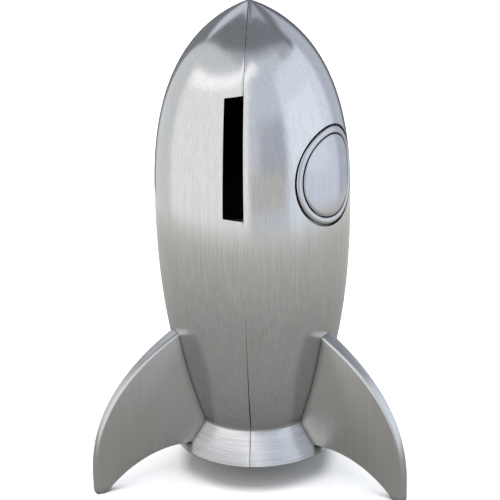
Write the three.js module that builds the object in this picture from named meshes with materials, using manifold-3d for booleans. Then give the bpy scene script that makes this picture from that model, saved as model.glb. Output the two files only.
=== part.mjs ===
// A rocket-shaped money box: two cast half-shells, three fins, a blind porthole and a soft stopper.
// Millimetres, +Z up. The rocket is built round its own axis and centred on its footprint at the end.
import * as THREE from 'three';
import { mergeVertices } from 'three/addons/utils/BufferGeometryUtils.js';
import Module from 'manifold-3d';

const wasm = await Module();
wasm.setup();

// Hull, as radius and height of the points that its outline passes through or heads for.
const RIM = [23.9, 8.8];
const SKIRT_PULL = [20.6, 12.7];
const WAIST_BELOW = [17.96, 16.72];
const WAIST = [17.67, 17.36];
const WAIST_ABOVE = [17.9, 18.02];
const TAIL_PULL = [25.35, 38.97];
const BELLY_RADIUS = 28;
const BELLY_PULL_LOW = 58.57;
const BELLY_HEIGHT = 86.68;
const BELLY_PULL_HIGH = 120.68;
const NOSE_PULL = [16.25, 134.82];
const NOSE_SHOULDER = [1.6, 142.5];
const TIP_PULL = [0.27, 143.2];
const NOSE_TIP_HEIGHT = 143.2;
const WALL = 1.8;
const RIM_UNDERSIDE = [22.8, 8.1];
const RIM_EDGE = [23.8, 8.35];
const SKIRT_INNER_PULL = [18.9, 11.7];
const WAIST_INNER = [16.1, 16.2];

const GAP = 0.3;
const TURN_STEPS = 48;
const OUTER_STEPS = { skirt: 4, waist: 2, tail: 9, nose: 12, tip: 2 };
const INNER_STEPS = { skirt: 4, tail: 5, nose: 6, tip: 1 };
const ROD_STEPS = 16;
const SHANK_STEPS = 12;
const FIN_CURVE_STEPS = 8;
const FIN_EDGE_STEPS = 3;
const WELD_DISTANCE = 1e-4;

// How far a cutter runs on past the surface it cuts, and a size beyond every piece.
const OVERRUN = 1;
const REACH = 200;

// Coin slot: a notch in the left half-shell's mating edge. It narrows upwards and its ends are drafted.
const SLOT_WIDTH_LOW = 5.9;
const SLOT_WIDTH_HIGH = 5.4;
const SLOT_BOTTOM = 87.5;
const SLOT_TOP = 122.7;
const SLOT_DRAFT_LOW = 0.5;
const SLOT_DRAFT_HIGH = 1.0;
const SLOT_DEPTH = 12;
const SLOT_START = 2;

// Porthole: a ring and a pane let into a pocket in the hull, about 60 degrees round from the front seam.
// They are round when they are laid out flat, so across the hull's curve they are squeezed a little.
const PORTHOLE_ANGLE = -29;
const PORTHOLE_SQUEEZE = 0.96;
const PORTHOLE_HEIGHT = 95.9;
const PANE_RADIUS = 11.65;
const RING_RADIUS = 14.2;
const PORTHOLE_PROUD = 0.35;
const PORTHOLE_THICKNESS = 1.45;
const POCKET_DEPTH = 1.4;
const PAD_RADIUS = 16.4;
const PAD_STEPS = 32;
const PORTHOLE_SPAN = [5, 40];

// Fins: one outline in the plane of radius and height, used three times.
const FIN_ANGLES = { left_fin: -150, right_fin: -30, rear_fin: 90 };
const FIN_THICKNESS = 3.2;
const FIN_ROUNDING = 0.8;
const FIN_TAPER = 0.0215;
const FIN_TAPER_RADIUS = 47;
const FIN_TOP = [21.6, 48.4];
const FIN_INSIDE_RADIUS = 14;
const FIN_OUTER_PULLS = [[40.6, 38.5], [51.9, 25.6]];
const FIN_TIP = [52.0, 6.7];
const FOOT_CENTRE = [49.9, 1.25];
const FOOT_RADIUS = 2.0;
const FOOT_START_ANGLE = 228;
const FIN_ARCH_PULLS = [[33.6, 11.1], [42.8, 6.2]];
const FIN_ARCH_ROOT = [24.1, 10.5];

// Fin screws: two to a fin, driven outwards from inside the hull.
const FIN_SCREW_HEIGHTS = [25, 38];
const FIN_SCREW_RADIUS = 0.8;
const FIN_SCREW_HEAD_RADIUS = 1.7;
const FIN_SCREW_HEAD_HEIGHT = 1.1;
const FIN_SCREW_BITE = 4.5;
const FIN_BOSS_RADIUS = 2.6;
const FIN_BOSS_HEIGHT = 1.6;
const FIN_BOSS_OVERLAP = 0.8;
const FIN_HOLE_RUN = [10, 5];
const DRIVER_SLOT = [0.4, 0.35];

// Dowels across the seam, in lugs on its inner side.
const DOWEL_RADIUS = 1.0;
const DOWEL_HALF_LENGTH = 3.0;
const LUG_RADIUS = 2.5;
const LUG_HALF_LENGTH = 4.2;
const LUG_INSET = 3.6;
const FRONT_DOWEL_HEIGHTS = [58, 130];
const REAR_DOWEL_HEIGHTS = [62, 112];

// Base plate, its screws, and the stopper in its hole.
const PLATE_BOTTOM = 12.2;
const PLATE_TOP = 13.6;
const PLATE_RADIUS_LOW = 18.75;
const PLATE_RADIUS_HIGH = 17.6;
const PLATE_HOLE_RADIUS = 12.6;
const PLATE_SCREW_ANGLES = [45, 135, 225, 315];
const PLATE_SCREW_CIRCLE = 15.5;
const PLATE_SCREW_RADIUS = 0.6;
const PLATE_SCREW_HEAD_RADIUS = 1.15;
const PLATE_SCREW_HEAD_HEIGHT = 0.7;
const PLATE_SCREW_LENGTH = 4.2;
const PLATE_BOSS_RADIUS = 1.7;
const PLATE_BOSS_TOP = 20.5;
const FLANGE_RADIUS = 13.7;
const FLANGE_BOTTOM = 10.9;
const PLUG_TOP = 16.6;
const PLUG_LEAD_IN = 0.8;
const RECESS_RADIUS = 10.2;
const RECESS_TOP = 15.0;
const RECESS_STEPS = 40;
const PULL_BAR = [22.0, 3.0, 2.6];

const vector = ([radius, height]) => new THREE.Vector2(radius, height);

// ---- solids ----

function solid(geometry) {
  const bare = geometry.clone();
  bare.deleteAttribute('normal');
  bare.deleteAttribute('uv');
  const merged = mergeVertices(bare, WELD_DISTANCE);
  const corners = Array.from(merged.index.array);
  const triangles = [];
  for (let i = 0; i < corners.length; i += 3) {
    const [a, b, c] = corners.slice(i, i + 3);
    if (a !== b && b !== c && c !== a) {
      triangles.push(a, b, c);
    }
  }
  return new wasm.Manifold(new wasm.Mesh({
    numProp: 3,
    vertProperties: new Float32Array(merged.attributes.position.array),
    triVerts: new Uint32Array(triangles),
  }));
}

function geometryOf(manifold) {
  const mesh = manifold.getMesh();
  const geometry = new THREE.BufferGeometry();
  geometry.setAttribute('position', new THREE.BufferAttribute(new Float32Array(mesh.vertProperties), 3));
  geometry.setIndex(new THREE.BufferAttribute(new Uint32Array(mesh.triVerts), 1));
  geometry.computeVertexNormals();
  return geometry;
}

function turned(points, steps = TURN_STEPS) {
  return solid(new THREE.LatheGeometry(points, steps).rotateX(Math.PI / 2));
}

function block(x0, x1, y0, y1, z0, z1) {
  const geometry = new THREE.BoxGeometry(x1 - x0, y1 - y0, z1 - z0);
  return solid(geometry.translate((x0 + x1) / 2, (y0 + y1) / 2, (z0 + z1) / 2));
}

// A rod along X at the given Y and Z.
function rodAlongX(radius, x0, x1, y, z, steps = ROD_STEPS) {
  const geometry = new THREE.CylinderGeometry(radius, radius, x1 - x0, steps);
  return solid(geometry.rotateZ(Math.PI / 2).translate((x0 + x1) / 2, y, z));
}

function rodAlongZ(radius, z0, z1, x, y, steps = ROD_STEPS) {
  const geometry = new THREE.CylinderGeometry(radius, radius, z1 - z0, steps);
  return solid(geometry.rotateX(Math.PI / 2).translate(x, y, (z0 + z1) / 2));
}

function swung(manifold, degrees) {
  return manifold.rotate([0, 0, degrees]);
}

// ---- hull ----

const hullOutline = new THREE.Path();
hullOutline.moveTo(...RIM);
hullOutline.quadraticCurveTo(...SKIRT_PULL, ...WAIST_BELOW);
hullOutline.quadraticCurveTo(...WAIST, ...WAIST_ABOVE);
hullOutline.bezierCurveTo(...TAIL_PULL, BELLY_RADIUS, BELLY_PULL_LOW, BELLY_RADIUS, BELLY_HEIGHT);
hullOutline.bezierCurveTo(BELLY_RADIUS, BELLY_PULL_HIGH, ...NOSE_PULL, ...NOSE_SHOULDER);
hullOutline.quadraticCurveTo(...TIP_PULL, 0, NOSE_TIP_HEIGHT);

const [skirtCurve, waistCurve, tailCurve, noseCurve, tipCurve] = hullOutline.curves;

// Points along one curve of the outline, moved out from the hull by the offset.
function curveOffset(curve, steps, offset) {
  const points = [];
  for (let i = 0; i <= steps; i += 1) {
    const along = curve.getPointAt(i / steps);
    const heading = curve.getTangentAt(i / steps);
    points.push(new THREE.Vector2(Math.max(0, along.x + heading.y * offset), along.y - heading.x * offset));
  }
  return points;
}

function hullPoints(offset) {
  return [
    ...curveOffset(skirtCurve, OUTER_STEPS.skirt, offset),
    ...curveOffset(waistCurve, OUTER_STEPS.waist, offset).slice(1),
    ...curveOffset(tailCurve, OUTER_STEPS.tail, offset).slice(1),
    ...curveOffset(noseCurve, OUTER_STEPS.nose, offset).slice(1),
    ...curveOffset(tipCurve, OUTER_STEPS.tip, offset).slice(1),
  ];
}

// The whole hull shape as a filled solid, grown or shrunk by the offset.
function filledHull(offset) {
  const bottom = RIM_UNDERSIDE[1] - Math.max(0, offset);
  const points = hullPoints(offset);
  return turned([new THREE.Vector2(0, bottom), new THREE.Vector2(points[0].x, bottom), ...points]);
}

// Radius of the hull at a height above the waist.
function hullRadius(height) {
  const points = hullPoints(0);
  const above = points.findIndex((point) => point.y > height && point.y > WAIST_ABOVE[1]);
  const [low, high] = [points[above - 1], points[above]];
  return low.x + ((high.x - low.x) * (height - low.y)) / (high.y - low.y);
}

function hollowHull() {
  const skirtInner = new THREE.QuadraticBezierCurve(vector(RIM_UNDERSIDE), vector(SKIRT_INNER_PULL),
    vector(WAIST_INNER));
  const inside = [
    ...skirtInner.getPoints(INNER_STEPS.skirt),
    ...curveOffset(tailCurve, INNER_STEPS.tail, -WALL).slice(1),
    ...curveOffset(noseCurve, INNER_STEPS.nose, -WALL).slice(1),
    ...curveOffset(tipCurve, INNER_STEPS.tip, -WALL).slice(1),
  ];
  const outside = hullPoints(0);
  return turned([...inside.reverse(), vector(RIM_EDGE), ...outside]);
}

function dowelHoles(hull, heights, side) {
  let result = hull;
  for (const height of heights) {
    const y = side * (hullRadius(height) - LUG_INSET);
    const lug = rodAlongX(LUG_RADIUS, -LUG_HALF_LENGTH, LUG_HALF_LENGTH, y, height);
    result = result.add(lug.intersect(filledHull(-GAP)));
    const reach = DOWEL_HALF_LENGTH + GAP;
    result = result.subtract(rodAlongX(DOWEL_RADIUS + GAP, -reach, reach, y, height));
  }
  return result;
}

function finFixings(hull) {
  let result = hull;
  for (const degrees of Object.values(FIN_ANGLES)) {
    for (const height of FIN_SCREW_HEIGHTS) {
      const outer = hullRadius(height);
      const [runInside, runOutside] = FIN_HOLE_RUN;
      const bossStart = outer - WALL - FIN_BOSS_HEIGHT;
      const boss = rodAlongX(FIN_BOSS_RADIUS, bossStart, outer - WALL + FIN_BOSS_OVERLAP, 0, height);
      const hole = rodAlongX(FIN_SCREW_RADIUS + GAP, outer - runInside, outer + runOutside, 0, height);
      result = result.add(swung(boss, degrees).intersect(filledHull(-GAP)));
      result = result.subtract(swung(hole, degrees));
    }
  }
  return result;
}

function plateFixings(hull) {
  let result = hull;
  const bossBottom = PLATE_TOP + GAP;
  for (const degrees of PLATE_SCREW_ANGLES) {
    const boss = rodAlongZ(PLATE_BOSS_RADIUS, bossBottom, PLATE_BOSS_TOP, PLATE_SCREW_CIRCLE, 0);
    const hole = rodAlongZ(PLATE_SCREW_RADIUS + GAP, bossBottom - OVERRUN,
      PLATE_BOTTOM + PLATE_SCREW_LENGTH + GAP, PLATE_SCREW_CIRCLE, 0);
    result = result.add(swung(boss, degrees).intersect(filledHull(-GAP)));
    result = result.subtract(swung(hole, degrees));
  }
  return result;
}

function portholeRod(radius, overrun = 0, steps = TURN_STEPS) {
  const [start, end] = PORTHOLE_SPAN;
  const length = end - start + 2 * overrun;
  const geometry = new THREE.CylinderGeometry(radius, radius, length, steps).rotateZ(Math.PI / 2);
  geometry.scale(1, PORTHOLE_SQUEEZE, 1);
  return solid(geometry.translate((start + end) / 2, 0, PORTHOLE_HEIGHT));
}

function portholePocket(hull) {
  const pad = portholeRod(PAD_RADIUS, 0, PAD_STEPS)
    .intersect(filledHull(-GAP))
    .subtract(filledHull(-POCKET_DEPTH - WALL));
  const pocket = portholeRod(RING_RADIUS + GAP)
    .subtract(filledHull(-POCKET_DEPTH));
  return hull.add(swung(pad, PORTHOLE_ANGLE)).subtract(swung(pocket, PORTHOLE_ANGLE));
}

function coinSlot() {
  const outline = new THREE.Shape([
    new THREE.Vector2(-SLOT_WIDTH_LOW, SLOT_BOTTOM + SLOT_DRAFT_LOW),
    new THREE.Vector2(OVERRUN, SLOT_BOTTOM),
    new THREE.Vector2(OVERRUN, SLOT_TOP),
    new THREE.Vector2(-SLOT_WIDTH_HIGH, SLOT_TOP - SLOT_DRAFT_HIGH),
  ]);
  const prism = new THREE.ExtrudeGeometry(outline, { depth: SLOT_DEPTH, bevelEnabled: false });
  return solid(prism.rotateX(Math.PI / 2).translate(0, SLOT_DEPTH - SLOT_START - BELLY_RADIUS, 0));
}

function halfShells() {
  let hull = hollowHull();
  hull = dowelHoles(hull, FRONT_DOWEL_HEIGHTS, -1);
  hull = dowelHoles(hull, REAR_DOWEL_HEIGHTS, 1);
  hull = finFixings(hull);
  hull = plateFixings(hull);
  hull = portholePocket(hull);
  const left = block(-REACH, -GAP / 2, -REACH, REACH, -REACH, REACH);
  const right = block(GAP / 2, REACH, -REACH, REACH, -REACH, REACH);
  return {
    left_shell: hull.intersect(left).subtract(coinSlot()),
    right_shell: hull.intersect(right),
  };
}

function dowel(height, side) {
  const y = side * (hullRadius(height) - LUG_INSET);
  return rodAlongX(DOWEL_RADIUS, -DOWEL_HALF_LENGTH, DOWEL_HALF_LENGTH, y, height);
}

// ---- porthole, along +X until it is swung to its place ----

function portholeRing() {
  return portholeRod(RING_RADIUS)
    .subtract(portholeRod(PANE_RADIUS + GAP, OVERRUN))
    .intersect(filledHull(PORTHOLE_PROUD))
    .subtract(filledHull(PORTHOLE_PROUD - PORTHOLE_THICKNESS));
}

function portholePane() {
  return portholeRod(PANE_RADIUS)
    .intersect(filledHull(PORTHOLE_PROUD))
    .subtract(filledHull(PORTHOLE_PROUD - PORTHOLE_THICKNESS));
}

// ---- fins and their screws, along +X until they are swung to their places ----

// Both faces lean outwards towards the hull: the fin is a shallow wedge in plan.
function thickenTowardsRoot(positions) {
  for (let i = 0; i < positions.count; i += 1) {
    const factor = 1 + FIN_TAPER * (FIN_TAPER_RADIUS - positions.getX(i));
    positions.setY(i, positions.getY(i) * factor);
  }
}

function fin() {
  const outline = new THREE.Shape();
  outline.moveTo(FIN_INSIDE_RADIUS, FIN_TOP[1]);
  outline.lineTo(FIN_INSIDE_RADIUS, FIN_ARCH_ROOT[1]);
  outline.lineTo(...FIN_ARCH_ROOT);
  const start = THREE.MathUtils.degToRad(FOOT_START_ANGLE);
  const [footRadius, footHeight] = FOOT_CENTRE;
  const toe = [footRadius + FOOT_RADIUS * Math.cos(start), footHeight + FOOT_RADIUS * Math.sin(start)];
  outline.bezierCurveTo(...FIN_ARCH_PULLS[0], ...FIN_ARCH_PULLS[1], ...toe);
  outline.absarc(...FOOT_CENTRE, FOOT_RADIUS, start, 2 * Math.PI, false);
  outline.lineTo(...FIN_TIP);
  outline.bezierCurveTo(...FIN_OUTER_PULLS[1], ...FIN_OUTER_PULLS[0], ...FIN_TOP);
  const plate = new THREE.ExtrudeGeometry(outline, {
    depth: FIN_THICKNESS - 2 * FIN_ROUNDING,
    curveSegments: FIN_CURVE_STEPS,
    bevelThickness: FIN_ROUNDING,
    bevelSize: FIN_ROUNDING,
    bevelOffset: -FIN_ROUNDING,
    bevelSegments: FIN_EDGE_STEPS,
  });
  plate.translate(0, 0, FIN_ROUNDING - FIN_THICKNESS / 2).rotateX(Math.PI / 2);
  thickenTowardsRoot(plate.attributes.position);
  let result = solid(plate)
    .subtract(filledHull(GAP))
    .subtract(block(0, REACH, -REACH, REACH, -REACH, 0));
  for (const height of FIN_SCREW_HEIGHTS) {
    const wallFace = hullRadius(height);
    const depth = FIN_SCREW_BITE + GAP;
    const holeStart = wallFace - FIN_HOLE_RUN[1];
    result = result.subtract(rodAlongX(FIN_SCREW_RADIUS + GAP, holeStart, wallFace + depth, 0, height));
  }
  return result;
}

function finScrew(height) {
  const wallFace = hullRadius(height);
  const headFace = wallFace - WALL - FIN_BOSS_HEIGHT - GAP;
  const headEnd = headFace - FIN_SCREW_HEAD_HEIGHT;
  const [slotWide, slotDeep] = DRIVER_SLOT;
  const shank = rodAlongX(FIN_SCREW_RADIUS, headEnd + slotDeep, wallFace + FIN_SCREW_BITE, 0, height);
  const head = rodAlongX(FIN_SCREW_HEAD_RADIUS, headEnd, headFace, 0, height);
  const side = FIN_SCREW_HEAD_RADIUS + OVERRUN;
  const driverSlot = block(headEnd - OVERRUN, headEnd + slotDeep, -slotWide / 2, slotWide / 2,
    height - side, height + side);
  return shank.add(head).subtract(driverSlot);
}

// ---- base plate, its screws and the stopper ----

function basePlate() {
  const section = [
    [PLATE_HOLE_RADIUS, PLATE_TOP],
    [PLATE_HOLE_RADIUS, PLATE_BOTTOM],
    [PLATE_RADIUS_LOW, PLATE_BOTTOM],
    [PLATE_RADIUS_HIGH, PLATE_TOP],
    [PLATE_HOLE_RADIUS, PLATE_TOP],
  ];
  let plate = turned(section.map(vector));
  for (const degrees of PLATE_SCREW_ANGLES) {
    const hole = rodAlongZ(PLATE_SCREW_RADIUS + GAP, PLATE_BOTTOM - OVERRUN, PLATE_TOP + OVERRUN,
      PLATE_SCREW_CIRCLE, 0);
    plate = plate.subtract(swung(hole, degrees));
  }
  return plate;
}

// One base plate screw, on the +X side until it is swung to its place.
function plateScrew() {
  const headTop = PLATE_BOTTOM - GAP;
  const headBottom = headTop - PLATE_SCREW_HEAD_HEIGHT;
  const [slotWide, slotDeep] = DRIVER_SLOT;
  const x = PLATE_SCREW_CIRCLE;
  const side = PLATE_SCREW_HEAD_RADIUS + OVERRUN;
  const shankTop = PLATE_BOTTOM + PLATE_SCREW_LENGTH;
  const shank = rodAlongZ(PLATE_SCREW_RADIUS, headBottom + slotDeep, shankTop, x, 0, SHANK_STEPS);
  const head = rodAlongZ(PLATE_SCREW_HEAD_RADIUS, headBottom, headTop, x, 0);
  const driverSlot = block(x - side, x + side, -slotWide / 2, slotWide / 2,
    headBottom - OVERRUN, headBottom + slotDeep);
  return shank.add(head).subtract(driverSlot);
}

function stopper() {
  const flangeTop = PLATE_BOTTOM - GAP;
  const plugRadius = PLATE_HOLE_RADIUS - GAP;
  const section = [
    [0, FLANGE_BOTTOM],
    [FLANGE_RADIUS, FLANGE_BOTTOM],
    [FLANGE_RADIUS, flangeTop],
    [plugRadius, flangeTop],
    [plugRadius, PLUG_TOP - PLUG_LEAD_IN],
    [plugRadius - PLUG_LEAD_IN, PLUG_TOP],
    [0, PLUG_TOP],
  ];
  const [length, width, height] = PULL_BAR;
  const bar = block(-length / 2, length / 2, -width / 2, width / 2, FLANGE_BOTTOM, FLANGE_BOTTOM + height);
  return turned(section.map(vector))
    .subtract(rodAlongZ(RECESS_RADIUS, 0, RECESS_TOP, 0, 0, RECESS_STEPS))
    .add(bar);
}

// ---- the assembly ----

const pewter = { color: 0xa9adb3, roughness: 0.32, metalness: 1 };
const brightPewter = { color: 0xb9c0c8, roughness: 0.25, metalness: 1 };
const finPewter = { color: 0x9c9b9a, roughness: 0.36, metalness: 1 };
const steel = { color: 0x8d9095, roughness: 0.4, metalness: 1 };
const blackPlastic = { color: 0x17181a, roughness: 0.6, metalness: 0 };

const rocket = new THREE.Group();

function addPiece(name, manifoldSolid, look, degrees = 0) {
  const mesh = new THREE.Mesh(geometryOf(manifoldSolid), new THREE.MeshStandardMaterial(look));
  mesh.name = name;
  mesh.rotation.z = THREE.MathUtils.degToRad(degrees);
  rocket.add(mesh);
}

const shells = halfShells();
addPiece('left_shell', shells.left_shell, pewter);
addPiece('right_shell', shells.right_shell, pewter);
FRONT_DOWEL_HEIGHTS.forEach((height, i) => addPiece(`front_dowel_${i + 1}`, dowel(height, -1), steel));
REAR_DOWEL_HEIGHTS.forEach((height, i) => addPiece(`rear_dowel_${i + 1}`, dowel(height, 1), steel));
addPiece('porthole_ring', portholeRing(), brightPewter, PORTHOLE_ANGLE);
addPiece('porthole_pane', portholePane(), brightPewter, PORTHOLE_ANGLE);
for (const [name, degrees] of Object.entries(FIN_ANGLES)) {
  addPiece(name, fin(), finPewter, degrees);
  FIN_SCREW_HEIGHTS.forEach((height, i) => {
    addPiece(`${name}_screw_${i + 1}`, finScrew(height), steel, degrees);
  });
}
addPiece('base_plate', basePlate(), pewter);
PLATE_SCREW_ANGLES.forEach((degrees, i) => addPiece(`base_screw_${i + 1}`, plateScrew(), steel, degrees));
addPiece('stopper', stopper(), blackPlastic);

const footprint = new THREE.Box3().setFromObject(rocket, true);
const centre = footprint.getCenter(new THREE.Vector3());
rocket.position.set(-centre.x, -centre.y, -footprint.min.z);

const moneyBox = new THREE.Group();
moneyBox.add(rocket);

export default moneyBox;
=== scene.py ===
"""A rocket-shaped money box in brushed pewter, standing on a pale floor under soft studio light.

The hull, fins, porthole, base plate and stopper are fine meshes built here; the dowels and screws are
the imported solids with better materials. Lengths are in millimetres until place() turns them to metres.
"""

import math
from bisect import bisect_right

import bmesh
import bpy
from mathutils import Matrix, Vector


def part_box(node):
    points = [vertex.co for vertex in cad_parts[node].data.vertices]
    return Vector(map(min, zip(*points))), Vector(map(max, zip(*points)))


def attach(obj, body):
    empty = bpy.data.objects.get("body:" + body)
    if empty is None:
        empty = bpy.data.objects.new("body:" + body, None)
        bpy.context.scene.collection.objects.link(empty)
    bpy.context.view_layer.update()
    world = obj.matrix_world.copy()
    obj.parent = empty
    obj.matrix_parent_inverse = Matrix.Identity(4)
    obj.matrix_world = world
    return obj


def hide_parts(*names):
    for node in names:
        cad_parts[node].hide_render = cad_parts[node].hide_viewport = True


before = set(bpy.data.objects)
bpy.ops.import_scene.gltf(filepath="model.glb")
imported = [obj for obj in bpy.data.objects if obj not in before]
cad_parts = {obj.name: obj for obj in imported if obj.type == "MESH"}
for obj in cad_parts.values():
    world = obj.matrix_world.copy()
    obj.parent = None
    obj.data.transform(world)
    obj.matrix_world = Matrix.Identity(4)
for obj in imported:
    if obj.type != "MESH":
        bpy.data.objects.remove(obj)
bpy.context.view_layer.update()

MM = 0.001
stopper_low, stopper_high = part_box("stopper")
AXIS_X = (stopper_low[0] + stopper_high[0]) / 2
AXIS_Y = (stopper_low[1] + stopper_high[1]) / 2

# Hull outline, as (radius, height): each curve's end points and pulls.
RIM = (23.9, 8.8)
WAIST_BELOW = (17.96, 16.72)
WAIST_ABOVE = (17.9, 18.02)
BELLY = (27.985, 86.68)
NOSE_SHOULDER = (1.6, 142.5)
NOSE_TIP = (0.0, 143.13)
SKIRT_CURVE = (RIM, (20.6, 12.7), WAIST_BELOW)
WAIST_CURVE = (WAIST_BELOW, (17.67, 17.36), WAIST_ABOVE)
TAIL_CURVE = (WAIST_ABOVE, (25.35, 38.97), (27.985, 58.57), BELLY)
NOSE_CURVE = (BELLY, (27.985, 120.68), (16.25, 134.82), NOSE_SHOULDER)
TIP_CURVE = (NOSE_SHOULDER, (0.27, 143.13), NOSE_TIP)
OUTLINE = ((SKIRT_CURVE, 12), (WAIST_CURVE, 6), (TAIL_CURVE, 50), (NOSE_CURVE, 60), (TIP_CURVE, 6))
RIM_LIP = ((22.8, 8.1), (23.25, 8.08), (23.65, 8.24), (23.87, 8.5))
SKIRT_INNER = ((22.8, 8.1), (18.9, 11.7), (16.1, 16.2))
SKIRT_INNER_STEPS = 12
BODY_INNER_START = 18.3
WALL = 1.8
COLUMNS = 64
PLUG_FOOT = ((0.0, 7.9), (23.7, 7.9))
PLUG_STEPS = 192
ON_AXIS = 1e-6
HEADING_STEP = 1e-4

# Seam: half its width and the rounding of its edges, by height. It closes up towards the nose's tip.
SEAM_FULL_RADIUS = 2.5
SEAM_SHOULDER = 0.3
SEAM_LEAST = 0.001
SEAM_EDGE_POINTS = 3
SEAM = (
    (8, 0.05, 0.08), (17, 0.05, 0.1), (22, 0.12, 0.14), (29, 0.09, 0.1), (42, 0.045, 0.05),
    (56, 0.02, 0.02), (64, 0.003, 0.0), (87.2, 0.003, 0.0), (87.6, 0.003, 0.2), (122.2, 0.02, 0.2),
    (123.5, 0.03, 0.04), (136, 0.06, 0.06), (143, 0.08, 0.07),
)

SLOT_CORNERS = ((-5.9, 88.0), (0.4, 87.5), (0.4, 122.7), (-5.4, 121.7))
SLOT_DEPTHS = (-35.0, -12.0)

# Porthole: its place on the hull, then sections as (distance from its centre, lift off the hull).
PORTHOLE_ANGLE = math.radians(-29)
PORTHOLE_HEIGHT = 95.9
PORTHOLE_STEPS = 112
PORTHOLE_BACK = -1.1
POCKET_RADIUS = 14.6
POCKET_DEPTH = 1.4
POCKET_RINGS = 8
POCKET_LIFT = 4.0
RING_SECTION = (
    (12.0, PORTHOLE_BACK), (12.0, -0.35), (12.06, -0.12), (12.25, 0.06), (12.55, 0.16), (13.0, 0.2),
    (13.45, 0.16), (13.75, 0.04), (13.92, -0.14), (14.0, -0.4), (14.0, PORTHOLE_BACK),
)
PANE_RADIUS = 11.5
PANE_CROWN = 0.24
PANE_RIM_LIFT = -0.06
PANE_STEPS = 14
PANE_EDGE = ((11.64, -0.14), (11.7, -0.36), (11.7, PORTHOLE_BACK))

FIN_ANGLES = {"left_fin": -150, "right_fin": -30, "rear_fin": 90}
FIN_HALF_THICKNESS = 1.598
FIN_EDGE_RADIUS = 0.8
FIN_TAPER = 0.0215
FIN_TAPER_RADIUS = 47.0
FIN_EDGE_STEPS = 7
FIN_ARCH_STEPS = 40
FIN_FOOT_STEPS = 14
FIN_OUTER_STEPS = 70
FIN_CORNER_LIMIT = 0.5
FIN_TOP = (21.6, 48.4)
FIN_OUTER_CURVE = ((52.0, 6.7), (51.9, 25.6), (40.6, 38.5), FIN_TOP)
FOOT_CENTRE = (49.9, 1.25)
FOOT_RADIUS = 2.0
FOOT_START = math.radians(228)
FIN_ARCH_ROOT = (24.1, 10.5)
FIN_ARCH_PULLS = ((33.6, 11.1), (42.8, 6.2))
FIN_INSIDE = 14.0
FIN_JOINT = 0.05

# Lugs for the dowels, bosses for the fins' and the base plate's screws, and the holes in them. Dowels are
# (side of the rocket, height); reaches of fin screws are from the hull's surface, of plate screws heights.
DOWELS = ((-1, 58), (-1, 130), (1, 62), (1, 112))
LUG_INSET = 3.6
LUG_HALF_LENGTH = 4.2
LUG_RADIUS = 2.5
LUG_COVER = 0.4
DOWEL_HOLE_HALF_LENGTH = 3.3
DOWEL_HOLE_RADIUS = 1.1
FIN_SCREW_HEIGHTS = (25, 38)
FIN_BOSS_REACH = (-3.4, -1.0)
FIN_BOSS_RADIUS = 2.6
FIN_SCREW_REACH = (-9.0, 3.0)
FIN_HOLE_REACH = (-4, 4.8)
FIN_SCREW_RADIUS = 0.95
PLATE_SCREW_ANGLES = (45, 135, 225, 315)
PLATE_SCREW_CIRCLE = 15.5
PLATE_BOSS_REACH = (13.9, 20.5)
PLATE_BOSS_RADIUS = 1.7
PLATE_SCREW_REACH = (12.9, 16.7)
PLATE_SCREW_RADIUS = 0.75
PLATE_HOLE_REACH = (11.0, 15.0)
PLATE_HOLE_RADIUS = 0.8

# The half-space that belongs to one half-shell: from just off the seam to well past the hull.
HALF_START = 0.06
HALF_REACH = 60.0
HALF_HEIGHT = 160.0

# Edges sharper than this stay sharp in the shading, in degrees.
SHELL_SHARP = 40
FIN_SHARP = 28
TURNED_SHARP = 50


# ---- curves and places ----

def bezier(points, t):
    points = [Vector(point) for point in points]
    while len(points) > 1:
        points = [a.lerp(b, t) for a, b in zip(points, points[1:])]
    return points[0]


def bezier_heading(points, t):
    low, high = max(0.0, t - HEADING_STEP), min(1.0, t + HEADING_STEP)
    return (bezier(points, high) - bezier(points, low)).normalized()


def outline_points(offset=0.0):
    """The hull's outline from the rim to the nose, moved out by the offset."""
    result = []
    for curve, steps in OUTLINE:
        for i in range(1 if result else 0, steps + 1):
            t = i / steps
            at, heading = bezier(curve, t), bezier_heading(curve, t)
            result.append((max(0.0, at.x + heading.y * offset), at.y - heading.x * offset))
    result[-1] = (0.0, NOSE_TIP[1] + offset)
    return result


hull_line = [point for point in outline_points() if point[1] >= WAIST_ABOVE[1]]
hull_heights = [height for _, height in hull_line]


def hull_radius(height):
    i = min(max(bisect_right(hull_heights, height), 1), len(hull_line) - 1)
    (r0, z0), (r1, z1) = hull_line[i - 1], hull_line[i]
    return r0 + (r1 - r0) * (height - z0) / (z1 - z0)


def seam_at(height):
    for (z0, g0, b0), (z1, g1, b1) in zip(SEAM, SEAM[1:]):
        if height <= z1:
            share = max(0.0, (height - z0) / (z1 - z0))
            return g0 + (g1 - g0) * share, b0 + (b1 - b0) * share
    return SEAM[-1][1:]


def place(x, y, z):
    return (x * MM + AXIS_X, y * MM + AXIS_Y, z * MM)


def new_piece(name, vertices, faces):
    mesh = bpy.data.meshes.new(name)
    mesh.from_pydata([place(*vertex) for vertex in vertices], [], faces)
    mesh.validate()
    piece = bpy.data.objects.new(name, mesh)
    bpy.context.scene.collection.objects.link(piece)
    return piece


def boolean(piece, cutter, operation):
    modifier = piece.modifiers.new("boolean", "BOOLEAN")
    modifier.operation = operation
    modifier.solver = "EXACT"
    modifier.object = cutter
    graph = bpy.context.evaluated_depsgraph_get()
    mesh = bpy.data.meshes.new_from_object(piece.evaluated_get(graph))
    old = piece.data
    piece.modifiers.clear()
    piece.data = mesh
    bpy.data.meshes.remove(old)
    bpy.data.objects.remove(cutter)


def smooth(piece, sharp_degrees):
    piece.data.shade_smooth()
    piece.data.set_sharp_from_angle(angle=math.radians(sharp_degrees))


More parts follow.
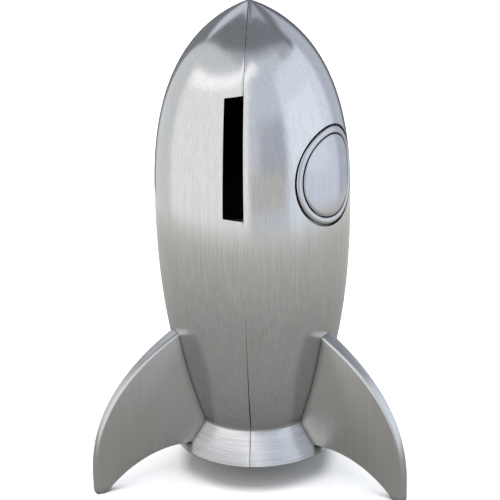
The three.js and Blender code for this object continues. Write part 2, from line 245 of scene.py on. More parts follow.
def loft(rows, close_rows=False, close_columns=False):
    """Faces of a grid of vertex indices, joined end to end where asked."""
    faces = []
    row_pairs = list(zip(rows, rows[1:]))
    if close_rows:
        row_pairs.append((rows[-1], rows[0]))
    for low, high in row_pairs:
        columns = len(low) if close_columns else len(low) - 1
        for j in range(columns):
            k = (j + 1) % len(low)
            corners = [low[j], low[k], high[k], high[j]]
            distinct = [c for n, c in enumerate(corners) if c != corners[n - 1]]
            if len(distinct) > 2:
                faces.append(distinct)
    return faces


def turned(name, section, steps):
    """A solid of revolution round the rocket's axis. The section closes on itself or ends on the axis."""
    vertices, rows = [], []
    for radius, height in section:
        if radius < ON_AXIS:
            vertices.append((0.0, 0.0, height))
            rows.append([len(vertices) - 1] * steps)
            continue
        row = []
        for j in range(steps):
            angle = 2 * math.pi * j / steps
            vertices.append((radius * math.sin(angle), -radius * math.cos(angle), height))
            row.append(len(vertices) - 1)
        rows.append(row)
    open_section = section[0][0] < ON_AXIS and section[-1][0] < ON_AXIS
    return new_piece(name, vertices, loft(rows, close_rows=not open_section, close_columns=True))


def outward(piece):
    """Turns a closed piece's faces outwards."""
    shape = bmesh.new()
    shape.from_mesh(piece.data)
    bmesh.ops.recalc_face_normals(shape, faces=shape.faces)
    if shape.calc_volume(signed=True) < 0:
        bmesh.ops.reverse_faces(shape, faces=shape.faces)
    shape.to_mesh(piece.data)
    shape.free()


# ---- hull ----

def shell_row(radius, height, side, seamed):
    """One level of a half-shell, from the front seam round to the rear seam."""
    gap, rounding = seam_at(height)
    shrink = min(1.0, radius / SEAM_FULL_RADIUS)
    gap, rounding = gap * shrink, rounding * shrink if seamed else 0.0
    shoulder = SEAM_SHOULDER * rounding
    near = [(gap, rounding), (gap + shoulder + SEAM_LEAST, shoulder), (gap + rounding + 2 * SEAM_LEAST, 0.0)]
    front = [(math.asin(min(1.0, off / radius)), drop) for off, drop in near]
    start = front[-1][0]
    middle = [(start + (math.pi - 2 * start) * j / COLUMNS, 0.0) for j in range(1, COLUMNS)]
    rear = [(math.pi - angle, drop) for angle, drop in reversed(front)]
    row = []
    for angle, drop in front + middle + rear:
        r = radius - drop
        row.append((side * r * math.sin(angle), -r * math.cos(angle), height))
    return row


def half_shell(name, side):
    outside = list(RIM_LIP) + outline_points()
    steps = SKIRT_INNER_STEPS
    skirt_inside = [tuple(bezier(SKIRT_INNER, i / steps)) for i in range(1, steps + 1)]
    body_inside = [point for point in outline_points(-WALL) if point[1] > BODY_INNER_START]
    inside = skirt_inside + body_inside
    vertices, rows = [], []
    section = [(point, True) for point in outside] + [(point, False) for point in reversed(inside)]
    for (radius, height), seamed in section:
        if radius < ON_AXIS:
            vertices.append((0.0, 0.0, height))
            rows.append([len(vertices) - 1] * (COLUMNS - 1 + 2 * SEAM_EDGE_POINTS))
            continue
        row = shell_row(radius, height, side, seamed)
        rows.append(list(range(len(vertices), len(vertices) + len(row))))
        vertices.extend(row)
    faces = loft(rows, close_rows=True)
    for column in (0, -1):
        faces.append([row[column] for row in rows])
    piece = new_piece(name, vertices, faces)
    outward(piece)
    return piece


def on_porthole(rho, phi, lift):
    """A point rho out from the porthole's centre at angle phi, lifted off the hull."""
    height = PORTHOLE_HEIGHT + rho * math.sin(phi)
    radius = hull_radius(height)
    angle = PORTHOLE_ANGLE + rho * math.cos(phi) / radius
    r = radius + lift
    return (r * math.cos(angle), r * math.sin(angle), height)


def porthole_solid(name, section):
    """A section of (rho, lift) swept round the porthole's centre, following the hull."""
    vertices, rows = [], []
    for rho, lift in section:
        if rho < ON_AXIS:
            vertices.append(on_porthole(0.0, 0.0, lift))
            rows.append([len(vertices) - 1] * PORTHOLE_STEPS)
            continue
        rows.append(list(range(len(vertices), len(vertices) + PORTHOLE_STEPS)))
        vertices += [on_porthole(rho, 2 * math.pi * j / PORTHOLE_STEPS, lift) for j in range(PORTHOLE_STEPS)]
    open_section = section[0][0] < ON_AXIS and section[-1][0] < ON_AXIS
    piece = new_piece(name, vertices, loft(rows, close_rows=not open_section, close_columns=True))
    outward(piece)
    return piece


def rods(name, spans, steps=24):
    """Round rods in one mesh, each from one end point to the other with its own radius."""
    vertices, faces = [], []
    for start, end, radius in spans:
        start, end = Vector(start), Vector(end)
        along = (end - start).normalized()
        side = along.orthogonal().normalized()
        other = along.cross(side)
        first = len(vertices)
        for middle in (start, end):
            for j in range(steps):
                angle = 2 * math.pi * j / steps
                vertices.append(tuple(middle + (side * math.cos(angle) + other * math.sin(angle)) * radius))
        low = list(range(first, first + steps))
        high = list(range(first + steps, first + 2 * steps))
        faces += loft([low, high], close_columns=True) + [low[::-1], high]
    piece = new_piece(name, vertices, faces)
    outward(piece)
    return piece


def polar(degrees, radius, height):
    angle = math.radians(degrees)
    return (radius * math.cos(angle), radius * math.sin(angle), height)


def dowel_span(side, height, half_length, radius):
    y = side * (hull_radius(height) - LUG_INSET)
    return (-half_length, y, height), (half_length, y, height), radius


def fin_span(degrees, height, reach, radius):
    """A level rod outwards, its reach measured from the hull's surface."""
    surface = hull_radius(height)
    start, end = (polar(degrees, surface + distance, height) for distance in reach)
    return start, end, radius


def plate_span(degrees, reach, radius):
    """An upright rod on the base plate's screw circle, its reach given as heights."""
    start, end = (polar(degrees, PLATE_SCREW_CIRCLE, height) for height in reach)
    return start, end, radius


def fixing_spans():
    solids, holes = [], []
    for side, height in DOWELS:
        solids.append(dowel_span(side, height, LUG_HALF_LENGTH, LUG_RADIUS))
        holes.append(dowel_span(side, height, DOWEL_HOLE_HALF_LENGTH, DOWEL_HOLE_RADIUS))
    for degrees in FIN_ANGLES.values():
        for height in FIN_SCREW_HEIGHTS:
            solids.append(fin_span(degrees, height, FIN_BOSS_REACH, FIN_BOSS_RADIUS))
            holes.append(fin_span(degrees, height, FIN_SCREW_REACH, FIN_SCREW_RADIUS))
    for degrees in PLATE_SCREW_ANGLES:
        solids.append(plate_span(degrees, PLATE_BOSS_REACH, PLATE_BOSS_RADIUS))
        holes.append(plate_span(degrees, PLATE_SCREW_REACH, PLATE_SCREW_RADIUS))
    return solids, holes


def half_space(side):
    low, high = sorted((HALF_START * side, HALF_REACH * side))
    vertices = [(x, y, z) for x in (low, high) for y in (-HALF_REACH, HALF_REACH) for z in (0.0, HALF_HEIGHT)]
    faces = [(0, 1, 3, 2), (4, 6, 7, 5), (0, 4, 5, 1), (2, 3, 7, 6), (0, 2, 6, 4), (1, 5, 7, 3)]
    cutter = new_piece("half_space", vertices, faces)
    outward(cutter)
    return cutter


def hull_plug(offset):
    """The whole hull filled in, moved out by the offset."""
    plug = turned("hull_plug", list(PLUG_FOOT) + outline_points(offset), PLUG_STEPS)
    outward(plug)
    return plug


def add_fixings(shell, side):
    solids, holes = fixing_spans()
    lugs = rods("lugs", solids)
    boolean(lugs, half_space(side), "INTERSECT")
    boolean(lugs, hull_plug(-LUG_COVER), "INTERSECT")
    boolean(shell, lugs, "UNION")
    boolean(shell, rods("lug_holes", holes), "DIFFERENCE")


def slot_cutter():
    vertices = [(x, y, z) for y in SLOT_DEPTHS for x, z in SLOT_CORNERS]
    faces = [(0, 1, 2, 3), (7, 6, 5, 4), (0, 4, 5, 1), (1, 5, 6, 2), (2, 6, 7, 3), (3, 7, 4, 0)]
    cutter = new_piece("slot_cutter", vertices, faces)
    outward(cutter)
    return cutter


def pocket_cutter():
    distances = [POCKET_RADIUS * i / POCKET_RINGS for i in range(POCKET_RINGS + 1)]
    section = [(distance, -POCKET_DEPTH) for distance in distances]
    section += [(distance, POCKET_LIFT) for distance in reversed(distances)]
    return porthole_solid("pocket_cutter", section)


left_shell = half_shell("left_shell_fine", -1)
add_fixings(left_shell, -1)
boolean(left_shell, slot_cutter(), "DIFFERENCE")
right_shell = half_shell("right_shell_fine", 1)
add_fixings(right_shell, 1)
boolean(right_shell, pocket_cutter(), "DIFFERENCE")

porthole_ring = porthole_solid("porthole_ring_fine", RING_SECTION)


def pane_section():
    top = []
    for i in range(PANE_STEPS + 1):
        rho = PANE_RADIUS * i / PANE_STEPS
        top.append((rho, PANE_RIM_LIFT + PANE_CROWN * (1 - (rho / PANE_RADIUS) ** 2)))
    return top + list(PANE_EDGE) + [(PANE_RADIUS / 2, PORTHOLE_BACK), (0.0, PORTHOLE_BACK)]


porthole_pane = porthole_solid("porthole_pane_fine", pane_section())


# ---- fins ----

def on_foot(angle):
    x, z = FOOT_CENTRE
    return (x + FOOT_RADIUS * math.cos(angle), z + FOOT_RADIUS * math.sin(angle))


def fin_outline():
    points = [(FIN_INSIDE, FIN_TOP[1]), (FIN_INSIDE, FIN_ARCH_ROOT[1])]
    arch = (FIN_ARCH_ROOT, *FIN_ARCH_PULLS, on_foot(FOOT_START))
    points += [tuple(bezier(arch, i / FIN_ARCH_STEPS)) for i in range(FIN_ARCH_STEPS)]
    for i in range(FIN_FOOT_STEPS + 1):
        points.append(on_foot(FOOT_START + (2 * math.pi - FOOT_START) * i / FIN_FOOT_STEPS))
    points += [tuple(bezier(FIN_OUTER_CURVE, i / FIN_OUTER_STEPS)) for i in range(FIN_OUTER_STEPS + 1)]
    return [Vector(point) for point in points]


def inset(points, distance):
    """The closed outline moved inwards by the distance."""
    result = []
    for i, point in enumerate(points):
        before = (point - points[i - 1]).normalized()
        after = (points[(i + 1) % len(points)] - point).normalized()
        inward = Vector((-(before.y + after.y), before.x + after.x)).normalized()
        stretch = max(FIN_CORNER_LIMIT, inward.dot(Vector((-before.y, before.x))))
        result.append(point + inward * (distance / stretch))
    return result


def fin_blank(name):
    """A fin with rounded edges, along +X, thicker towards its root and still running on into the hull."""
    outline = fin_outline()
    core = FIN_HALF_THICKNESS - FIN_EDGE_RADIUS
    levels = []
    for k in range(FIN_EDGE_STEPS + 1):
        turn = math.pi / 2 * (1 - k / FIN_EDGE_STEPS)
        levels.append((FIN_EDGE_RADIUS * (1 - math.cos(turn)), -(core + FIN_EDGE_RADIUS * math.sin(turn))))
    levels += [(distance, -sideways) for distance, sideways in reversed(levels)]
    vertices, rows = [], []
    for distance, sideways in levels:
        line = inset(outline, distance)
        rows.append(list(range(len(vertices), len(vertices) + len(line))))
        for point in line:
            thickening = 1 + FIN_TAPER * (FIN_TAPER_RADIUS - point.x)
            vertices.append((point.x, sideways * thickening, max(0.0, point.y)))
    faces = loft(rows, close_columns=True)
    faces += [rows[0], rows[-1]]
    blank = new_piece(name, vertices, faces)
    outward(blank)
    return blank


fin_master = fin_blank("fin_master")
boolean(fin_master, hull_plug(FIN_JOINT), "DIFFERENCE")
screw_holes = [fin_span(0, height, FIN_HOLE_REACH, FIN_SCREW_RADIUS) for height in FIN_SCREW_HEIGHTS]
boolean(fin_master, rods("screw_holes", screw_holes), "DIFFERENCE")
smooth(fin_master, FIN_SHARP)
fins = {}
for fin_name, degrees in FIN_ANGLES.items():
    mesh = fin_master.data.copy()
    centre = Matrix.Translation((AXIS_X, AXIS_Y, 0))
    mesh.transform(centre @ Matrix.Rotation(math.radians(degrees), 4, "Z") @ centre.inverted())
    fins[fin_name] = bpy.data.objects.new(fin_name + "_fine", mesh)
    bpy.context.scene.collection.objects.link(fins[fin_name])
bpy.data.objects.remove(fin_master)

for piece in (left_shell, right_shell, porthole_ring, porthole_pane):
    smooth(piece, SHELL_SHARP)


# ---- base plate and stopper ----

PLATE_SECTION = (
    (12.6, 12.4), (12.75, 12.22), (12.95, 12.2), (18.5, 12.2), (18.7, 12.26), (18.74, 12.4),
    (17.75, 13.5), (17.6, 13.6), (12.8, 13.6), (12.6, 13.45),
)
STOPPER_SECTION = (
    (0.0, 15.0), (9.4, 15.0), (9.95, 14.8), (10.2, 14.3), (10.25, 11.5), (10.45, 11.05), (10.8, 10.9),
    (13.2, 10.9), (13.55, 11.02), (13.7, 11.3), (13.66, 11.7), (13.4, 11.88), (12.45, 11.9),
    (12.3, 12.05), (12.3, 15.8), (11.9, 16.4), (11.4, 16.6), (0.0, 16.6),
)
BAR = (21.4, 3.0, 2.6)
BAR_FOOT = 10.95
BAR_ROUNDING = 0.7
BAR_SEGMENTS = 4
TURNED_STEPS = 128

base_plate = turned("base_plate_fine", PLATE_SECTION, TURNED_STEPS)
outward(base_plate)
plate_holes = [plate_span(degrees, PLATE_HOLE_REACH, PLATE_HOLE_RADIUS) for degrees in PLATE_SCREW_ANGLES]
boolean(base_plate, rods("plate_holes", plate_holes), "DIFFERENCE")
smooth(base_plate, TURNED_SHARP)

stopper = turned("stopper_fine", STOPPER_SECTION, TURNED_STEPS)
outward(stopper)


def pull_bar():
    shape = bmesh.new()
    bmesh.ops.create_cube(shape, size=1.0)
    length, width, height = BAR
    for vertex in shape.verts:
        x, y, z = vertex.co
        vertex.co = place(x * length, y * width, (z + 0.5) * height + BAR_FOOT)
    bmesh.ops.bevel(shape, geom=list(shape.edges), offset=BAR_ROUNDING * MM, segments=BAR_SEGMENTS,
                    profile=0.5, affect="EDGES")
    mesh = bpy.data.meshes.new("pull_bar")
    shape.to_mesh(mesh)
    shape.free()
    bar = bpy.data.objects.new("pull_bar", mesh)
    bpy.context.scene.collection.objects.link(bar)
    return bar


boolean(stopper, pull_bar(), "UNION")
smooth(stopper, TURNED_SHARP)


# ---- materials ----

# Noise for the metal: how much its coordinates are stretched along x, y and z, its detail and roughness.
FINE_STREAKS = ((3100, 3100, 24), 3.0, 0.6)
BROAD_STREAKS = ((800, 800, 9), 3.0, 0.5)
SCRATCHES = ((5200, 5200, 110), 2.0, 0.5)
CLOUDS = ((60, 60, 36), 3.0, 0.5)
FINE_ROUNDS = ((60, 60, 3200), 4.0, 0.7)
BROAD_ROUNDS = ((70, 70, 900), 3.0, 0.6)
# How far each kind of noise lightens or darkens the metal.
FINE_SHADE = 0.085
BROAD_SHADE = 0.035
CLOUD_SHADE = 0.015
SKIRT_STREAKS = 2.0
# The part of a noise's range that carries its grain, and how far it makes the polish rougher.
NOISE_RANGE = (0.3, 0.7)
FINE_ROUGHNESS = (-0.02, 0.025)
CLOUD_ROUGHNESS = (-0.015, 0.02)
# Heights in metres between which the turned brushing gives way to the upright one, and the polish sets in.
SKIRT_HEIGHTS = (0.0178, 0.0232)
DULL_HEIGHTS = (0.022, 0.075)
DULL_ROUGHNESS = 0.12
ANISOTROPY = 0.25
METAL_BUMP = (0.1, 0.000012)
# Painted shade that darkens corners and grooves, along with the dark patina kept in them: its reach in
# metres, its darkest, the closeness range it spans, and its samples.
SHADE_AND_PATINA_REACH = 0.0032
SHADE_AND_PATINA_DARKEST = 0.3
SHADE_AND_PATINA_RANGE = (0.25, 0.85)
SHADE_AND_PATINA_SAMPLES = 8
PLASTIC_GRAIN = ((900, 900, 900), 3.0, 0.6)
PLASTIC_SMEARS = ((90, 90, 90), 3.0, 0.5)
PLASTIC_BUMP = (0.3, 0.00003)
PLASTIC_SHADE = (0.8, 1.3)
PLASTIC_ROUGHNESS = (-0.08, 0.1)


def new_material(name):
    material = bpy.data.materials.new(name)
    material.use_nodes = True
    nodes = material.node_tree.nodes
    nodes.clear()
    output = nodes.new("ShaderNodeOutputMaterial")
    shader = nodes.new("ShaderNodeBsdfPrincipled")
    material.node_tree.links.new(shader.outputs["BSDF"], output.inputs["Surface"])
    return material, shader


def noise(material, stretch, detail, roughness):
    """Noise whose grain is stretched: the object's coordinates are scaled by `stretch` first."""
    nodes, links = material.node_tree.nodes, material.node_tree.links
    coordinates = nodes.new("ShaderNodeTexCoord")
    mapping = nodes.new("ShaderNodeMapping")
    mapping.inputs["Scale"].default_value = stretch
    texture = nodes.new("ShaderNodeTexNoise")
    texture.inputs["Scale"].default_value = 1.0
    texture.inputs["Detail"].default_value = detail
    texture.inputs["Roughness"].default_value = roughness
    links.new(coordinates.outputs["Object"], mapping.inputs["Vector"])
    links.new(mapping.outputs["Vector"], texture.inputs["Vector"])
    return texture.outputs["Fac"]


def spread(material, value, low, high, from_low=NOISE_RANGE[0], from_high=NOISE_RANGE[1]):
    """The value's range from from_low to from_high, mapped to low to high and kept inside it."""
    nodes, links = material.node_tree.nodes, material.node_tree.links
    ranges = nodes.new("ShaderNodeMapRange")
    ranges.inputs["From Min"].default_value = from_low
    ranges.inputs["From Max"].default_value = from_high
    ranges.inputs["To Min"].default_value = low
    ranges.inputs["To Max"].default_value = high
    links.new(value, ranges.inputs["Value"])
    return ranges.outputs["Result"]


def tree_math(tree, operation, *values):
    node = tree.nodes.new("ShaderNodeMath")
    node.operation = operation
    for socket, value in zip(node.inputs, values):
        if isinstance(value, (int, float)):
            socket.default_value = value
        else:
            tree.links.new(value, socket)
    return node.outputs["Value"]


def combine(material, operation, first, second):
    return tree_math(material.node_tree, operation, first, second)


def mixed(material, share, low, high):
    node = material.node_tree.nodes.new("ShaderNodeMix")
    material.node_tree.links.new(share, node.inputs["Factor"])
    material.node_tree.links.new(low, node.inputs["A"])
    material.node_tree.links.new(high, node.inputs["B"])
    return node.outputs["Result"]


def tinted(material, shader, colour, strength):
    """The colour times the strength, into the shader's base colour."""
    nodes, links = material.node_tree.nodes, material.node_tree.links
    tint = nodes.new("ShaderNodeVectorMath")
    tint.operation = "SCALE"
    tint.inputs[0].default_value = colour
    links.new(strength, tint.inputs["Scale"])
    links.new(tint.outputs["Vector"], shader.inputs["Base Color"])


def roughened(material, shader, height, strength, distance):
    """Bump from the height, into the shader's normal."""
    nodes, links = material.node_tree.nodes, material.node_tree.links
    bump = nodes.new("ShaderNodeBump")
    bump.inputs["Strength"].default_value = strength
    bump.inputs["Distance"].default_value = distance
    links.new(height, bump.inputs["Height"])
    links.new(bump.outputs["Normal"], shader.inputs["Normal"])


def shade_and_patina(material, strength):
    """Painted shade in the corners and grooves, with the dark patina kept there: the strength falls where
    they close in.
    """
    closeness = material.node_tree.nodes.new("ShaderNodeAmbientOcclusion")
    closeness.samples = SHADE_AND_PATINA_SAMPLES
    closeness.inputs["Distance"].default_value = SHADE_AND_PATINA_REACH
    kept = spread(material, closeness.outputs["AO"], SHADE_AND_PATINA_DARKEST, 1.0, *SHADE_AND_PATINA_RANGE)
    return combine(material, "MULTIPLY", strength, kept)


def brushed_metal(name, colour, roughness, streaks=1.0, hull=False):
    """Plated metal brushed upwards: fine and broad streaks, cloudy polish, and scratches as bump.

    On the hull the skirt is brushed round the axis instead, and the polish is duller low down.
    """
    material, shader = new_material(name)
    nodes, links = material.node_tree.nodes, material.node_tree.links
    fine = noise(material, *FINE_STREAKS)
    broad = noise(material, *BROAD_STREAKS)
    scratch = noise(material, *SCRATCHES)
    cloud = noise(material, *CLOUDS)
    if hull:
        coordinates = nodes.new("ShaderNodeTexCoord")
        parts = nodes.new("ShaderNodeSeparateXYZ")
        links.new(coordinates.outputs["Object"], parts.inputs["Vector"])
        upright = spread(material, parts.outputs["Z"], 0.0, 1.0, *SKIRT_HEIGHTS)
        rounds = noise(material, *FINE_ROUNDS)
        fine = mixed(material, upright, rounds, fine)
        scratch = mixed(material, upright, rounds, scratch)
        broad = mixed(material, upright, noise(material, *BROAD_ROUNDS), broad)
        streaks = spread(material, upright, SKIRT_STREAKS, 1.0, 0.0, 1.0)
    shade = combine(material, "ADD", spread(material, fine, -FINE_SHADE, FINE_SHADE),
                    spread(material, broad, -BROAD_SHADE, BROAD_SHADE))
    shade = combine(material, "MULTIPLY", shade, streaks)
    shade = combine(material, "ADD", shade, spread(material, cloud, -CLOUD_SHADE, CLOUD_SHADE))
    # The base colour: the noise's shade, times painted shade in the corners and grooves along with their
    # patina.
    tinted(material, shader, colour, shade_and_patina(material, combine(material, "ADD", shade, 1.0)))
    rough = combine(material, "ADD", spread(material, fine, *FINE_ROUGHNESS),
                    spread(material, cloud, *CLOUD_ROUGHNESS))
    if hull:
        duller = spread(material, parts.outputs["Z"], DULL_ROUGHNESS, 0.0, *DULL_HEIGHTS)
        rough = combine(material, "ADD", rough, duller)
    links.new(combine(material, "ADD", rough, roughness), shader.inputs["Roughness"])
    shader.inputs["Metallic"].default_value = 1.0
    shader.inputs["Anisotropic"].default_value = ANISOTROPY
    tangent = nodes.new("ShaderNodeTangent")
    tangent.direction_type = "RADIAL"
    tangent.axis = "Z"
    links.new(tangent.outputs["Tangent"], shader.inputs["Tangent"])
    roughened(material, shader, combine(material, "ADD", fine, scratch), *METAL_BUMP)
    return material


def soft_plastic(name, colour, roughness):
    material, shader = new_material(name)
    grain = noise(material, *PLASTIC_GRAIN)
    smear = noise(material, *PLASTIC_SMEARS)
    tinted(material, shader, colour, spread(material, smear, *PLASTIC_SHADE))
    smoother, rougher = PLASTIC_ROUGHNESS
    uneven = spread(material, smear, roughness + smoother, roughness + rougher)
    material.node_tree.links.new(uneven, shader.inputs["Roughness"])
    roughened(material, shader, grain, *PLASTIC_BUMP)
    return material


hull_metal = brushed_metal("hull_metal", (0.62, 0.62, 0.63), 0.14, hull=True)
porthole_metal = brushed_metal("porthole_metal", (0.55, 0.552, 0.572), 0.18, 0.6)
fin_metal = brushed_metal("fin_metal", (0.625, 0.62, 0.62), 0.3, 0.6)
screw_steel = brushed_metal("screw_steel", (0.45, 0.45, 0.46), 0.32, 0.5)
stopper_plastic = soft_plastic("stopper_plastic", (0.022, 0.022, 0.025), 0.5)


def dress(piece, material):
    piece.data.materials.clear()
    piece.data.materials.append(material)


# ---- pieces: their materials, their bodies, and the imported parts they replace ----

PIECES = (
    (left_shell, "rocket", "left_shell", "hull_metal", hull_metal),
    (right_shell, "rocket", "right_shell", "hull_metal", hull_metal),
    (porthole_ring, "rocket", "porthole_ring", "porthole_metal", porthole_metal),
    (porthole_pane, "rocket", "porthole_pane", "porthole_metal", porthole_metal),
    (fins["left_fin"], "rocket", "left_fin", "fin_metal", fin_metal),
    (fins["right_fin"], "rocket", "right_fin", "fin_metal", fin_metal),
    (fins["rear_fin"], "rocket", "rear_fin", "fin_metal", fin_metal),
    (base_plate, "rocket", "base_plate", "hull_metal", hull_metal),
    (stopper, "stopper", "stopper", "stopper_plastic", stopper_plastic),
)
for piece, body, node, slot, material in PIECES:
    dress(piece, material)
    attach(piece, body)
    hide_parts(node)

replaced = {node for _, _, node, _, _ in PIECES}
for node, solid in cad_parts.items():
    if node not in replaced:
        dress(solid, screw_steel)


# ---- floor, light and camera ----

FLOOR_HALF = 3.0


def floor():
    corners = [(x * FLOOR_HALF, y * FLOOR_HALF, 0) for x, y in ((-1, -1), (1, -1), (1, 1), (-1, 1))]
    mesh = bpy.data.meshes.new("floor")
    mesh.from_pydata(corners, [], [(0, 1, 2, 3)])
    plane = bpy.data.objects.new("floor", mesh)
    bpy.context.scene.collection.objects.link(plane)
    material, shader = new_material("floor_paper")
    shader.inputs["Base Color"].default_value = (0.9, 0.9, 0.9, 1)
    shader.inputs["Roughness"].default_value = 0.9
    mesh.materials.append(material)
    plane.visible_glossy = False


floor()

# What stands round the rocket in the studio, as seen from it: grey walls, a white sheet on the left with a
# brighter lamp line in it, a window on the right, a pale table. Azimuths run from the front (-Y) towards +X,
# elevations up from the horizon, in degrees. Each zone is (azimuths and softness), (elevations and
# softness), (centre, power, bend) of the curve that its level edges droop by, and its colour.
SURROUND = (0.245, 0.262, 0.285)
ZONES = (
    ((-146, -121, 8), (24, 91, 8), (0, 1, 0.0), (0.80, 0.85, 0.90)),
    ((120, 152, 10), (56, 91, 10), (0, 1, 0.0), (0.52, 0.58, 0.67)),
    ((-80, 114, 8), (-90, 63, 6), (10, 3, 2.3e-5), (0.55, 0.57, 0.61)),
    ((-4, 80, 6), (-90, 57, 5), (20, 2, 0.0022), (0.76, 0.83, 0.91)),
    ((-152, 3, 6), (-90, 53, 5), (0, 4, 1.35e-7), (0.81, 0.83, 0.84)),
    ((-106, 4, 12), (-90, 53, 6), (10, 1, 0.3), (1.12, 1.12, 1.10)),
    ((-100, 22, 26), (45.5, 55.5, 6), (10, 1, 0.3), (1.46, 1.46, 1.48)),
    ((2, 49, 3), (-90, 27, 6), (20, 2, 0.0), (0.77, 0.81, 0.86)),
    ((14, 49, 12), (-90, 47, 8), (20, 2, 0.004), (0.76, 0.82, 0.90)),
    ((15, 49, 12), (-13, 14, 10), (0, 1, 0.0), (0.56, 0.60, 0.68)),
    ((4, 44, 12), (-21, -8, 6), (0, 1, 0.0), (0.68, 0.66, 0.64)),
    ((48, 166, 2.0), (-90, 41.5, 3), (70, 1.5, 0.034), (0.96, 1.04, 1.15)),
    ((53, 106, 3), (-10, 20, 2.5), (53, 1, 0.08), (1.08, 1.17, 1.26)),
    ((127, 166, 10), (-90, 38, 10), (130, 1, 0.4), (0.62, 0.66, 0.76)),
    ((-181, -160, 12), (-90, 30, 20), (0, 1, 0.0), (0.16, 0.16, 0.17)),
    ((160, 181, 12), (-90, 30, 20), (0, 1, 0.0), (0.16, 0.16, 0.18)),
    ((-158, 158, 12), (-90, -25.5, 4), (0, 1, 0.0), (0.61, 0.605, 0.57)),
)


def rise(tree, value, start, width):
    """0 below the start, 1 above it, smooth over the width."""
    ranges = tree.nodes.new("ShaderNodeMapRange")
    ranges.interpolation_type = "SMOOTHSTEP"
    ranges.inputs["From Min"].default_value = start - width / 2
    ranges.inputs["From Max"].default_value = start + width / 2
    tree.links.new(value, ranges.inputs["Value"])
    return ranges.outputs["Result"]


def studio():
    world = bpy.data.worlds.new("studio")
    bpy.context.scene.world = world
    world.use_nodes = True
    tree = world.node_tree
    coordinates = tree.nodes.new("ShaderNodeTexCoord")
    parts = tree.nodes.new("ShaderNodeSeparateXYZ")
    tree.links.new(coordinates.outputs["Generated"], parts.inputs["Vector"])
    toward_front = tree_math(tree, "MULTIPLY", parts.outputs["Y"], -1.0)
    azimuth = tree_math(tree, "DEGREES", tree_math(tree, "ARCTAN2", parts.outputs["X"], toward_front))
    elevation = tree_math(tree, "DEGREES", tree_math(tree, "ARCSINE", parts.outputs["Z"]))
    colour = None
    for (left, right, soft_across), (low, high, soft_up), (centre, power, bend), zone_colour in ZONES:
        away = tree_math(tree, "ABSOLUTE", tree_math(tree, "SUBTRACT", azimuth, centre))
        droop = tree_math(tree, "MULTIPLY", tree_math(tree, "POWER", away, power), bend)
        level = tree_math(tree, "ADD", elevation, droop)
        mask = tree_math(tree, "SUBTRACT", 1.0, rise(tree, level, high, soft_up))
        mask = tree_math(tree, "MULTIPLY", mask, rise(tree, level, low, soft_up))
        mask = tree_math(tree, "MULTIPLY", mask, rise(tree, azimuth, left, soft_across))
        outside = rise(tree, azimuth, right, soft_across)
        mask = tree_math(tree, "MULTIPLY", mask, tree_math(tree, "SUBTRACT", 1.0, outside))
        mix = tree.nodes.new("ShaderNodeMix")
        mix.data_type = "RGBA"
        tree.links.new(mask, mix.inputs["Factor"])
        if colour is None:
            mix.inputs["A"].default_value = (*SURROUND, 1)
        else:
            tree.links.new(colour, mix.inputs["A"])
        mix.inputs["B"].default_value = (*zone_colour, 1)
        colour = mix.outputs["Result"]
    tree.links.new(colour, tree.nodes["Background"].inputs["Color"])
    tree.nodes["Background"].inputs["Strength"].default_value = 1.0


studio()


# The table as the metal mirrors it: darker near the rocket, a painted shadow of the rocket on it. Distance
# from its axis in mm, and brightness.
TABLE_TINT = (1.02, 1.0, 0.95)
TABLE_DEPTH = -1.0
TABLE_STEPS = 96
TABLE_GLOW = ((30, 0.27), (50, 0.35), (64, 0.37), (88, 0.39), (130, 0.50), (182, 0.62), (215, 0.86))


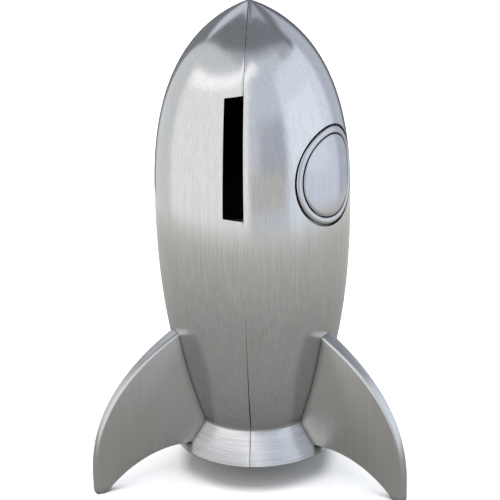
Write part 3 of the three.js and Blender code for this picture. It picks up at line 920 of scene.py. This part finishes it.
def table_reflection():
    """A disc just under the floor that only mirrored light sees."""
    radius = TABLE_GLOW[-1][0]
    ring = [place(*polar(360 * j / TABLE_STEPS, radius, TABLE_DEPTH)) for j in range(TABLE_STEPS)]
    mesh = bpy.data.meshes.new("table_reflection")
    mesh.from_pydata(ring, [], [list(range(TABLE_STEPS))])
    disc = bpy.data.objects.new("table_reflection", mesh)
    bpy.context.scene.collection.objects.link(disc)
    material = bpy.data.materials.new("table_glow")
    material.use_nodes = True
    tree = material.node_tree
    tree.nodes.clear()
    output = tree.nodes.new("ShaderNodeOutputMaterial")
    glow = tree.nodes.new("ShaderNodeEmission")
    coordinates = tree.nodes.new("ShaderNodeTexCoord")
    from_axis = tree.nodes.new("ShaderNodeVectorMath")
    from_axis.operation = "SUBTRACT"
    from_axis.inputs[1].default_value = place(0, 0, TABLE_DEPTH)
    length = tree.nodes.new("ShaderNodeVectorMath")
    length.operation = "LENGTH"
    tree.links.new(coordinates.outputs["Object"], from_axis.inputs[0])
    tree.links.new(from_axis.outputs["Vector"], length.inputs[0])
    ramp = tree.nodes.new("ShaderNodeValToRGB")
    for i, (distance, brightness) in enumerate(TABLE_GLOW):
        stop = ramp.color_ramp.elements[i] if i < 2 else ramp.color_ramp.elements.new(distance / radius)
        stop.position = distance / radius
        stop.color = (*(brightness * channel for channel in TABLE_TINT), 1)
    tree.links.new(tree_math(tree, "DIVIDE", length.outputs["Value"], radius * MM), ramp.inputs["Fac"])
    tree.links.new(ramp.outputs["Color"], glow.inputs["Color"])
    tree.links.new(glow.outputs["Emission"], output.inputs["Surface"])
    mesh.materials.append(material)
    disc.visible_camera = False
    disc.visible_diffuse = False
    disc.visible_shadow = False
    disc.visible_transmission = False


table_reflection()


OVERHEAD_SIZE = 1.6
OVERHEAD_ENERGY = 42
OVERHEAD_PLACE = (0, -0.1, 1.5)


def overhead_light():
    data = bpy.data.lights.new("overhead", "AREA")
    data.shape = "RECTANGLE"
    data.size, data.size_y = OVERHEAD_SIZE, OVERHEAD_SIZE
    data.energy = OVERHEAD_ENERGY
    lamp = bpy.data.objects.new("overhead", data)
    lamp.location = OVERHEAD_PLACE
    lamp.visible_glossy = False
    bpy.context.scene.collection.objects.link(lamp)


overhead_light()

bpy.context.scene.view_settings.view_transform = "Standard"

CAMERA_AZIMUTH = math.radians(5.6)
CAMERA_ELEVATION = math.radians(24.0)
CAMERA_DISTANCE = 1008.0
CAMERA_ROLL = math.radians(-1.05)
CAMERA_LENS = 252.2
CAMERA_SENSOR = 36
CAMERA_CLIP = (0.05, 20)
AIM_HEIGHT = 66.64
AIM_SIDE = -1.04


def camera():
    az, el, roll = CAMERA_AZIMUTH, CAMERA_ELEVATION, CAMERA_ROLL
    back = Vector((math.sin(az) * math.cos(el), -math.cos(az) * math.cos(el), math.sin(el)))
    right = Vector((math.cos(az), math.sin(az), 0))
    up = back.cross(right)
    tilted_right = math.cos(roll) * right + math.sin(roll) * up
    tilted_up = math.cos(roll) * up - math.sin(roll) * right
    aim = Vector(place(0, 0, AIM_HEIGHT)) + right * AIM_SIDE * MM
    data = bpy.data.cameras.new("camera")
    data.lens = CAMERA_LENS
    data.sensor_width = CAMERA_SENSOR
    data.clip_start, data.clip_end = CAMERA_CLIP
    body = bpy.data.objects.new("camera", data)
    turn = Matrix((tilted_right, tilted_up, back)).transposed().to_4x4()
    body.matrix_world = Matrix.Translation(aim + back * CAMERA_DISTANCE * MM) @ turn
    bpy.context.scene.collection.objects.link(body)
    bpy.context.scene.camera = body


camera()

bpy.context.view_layer.update()
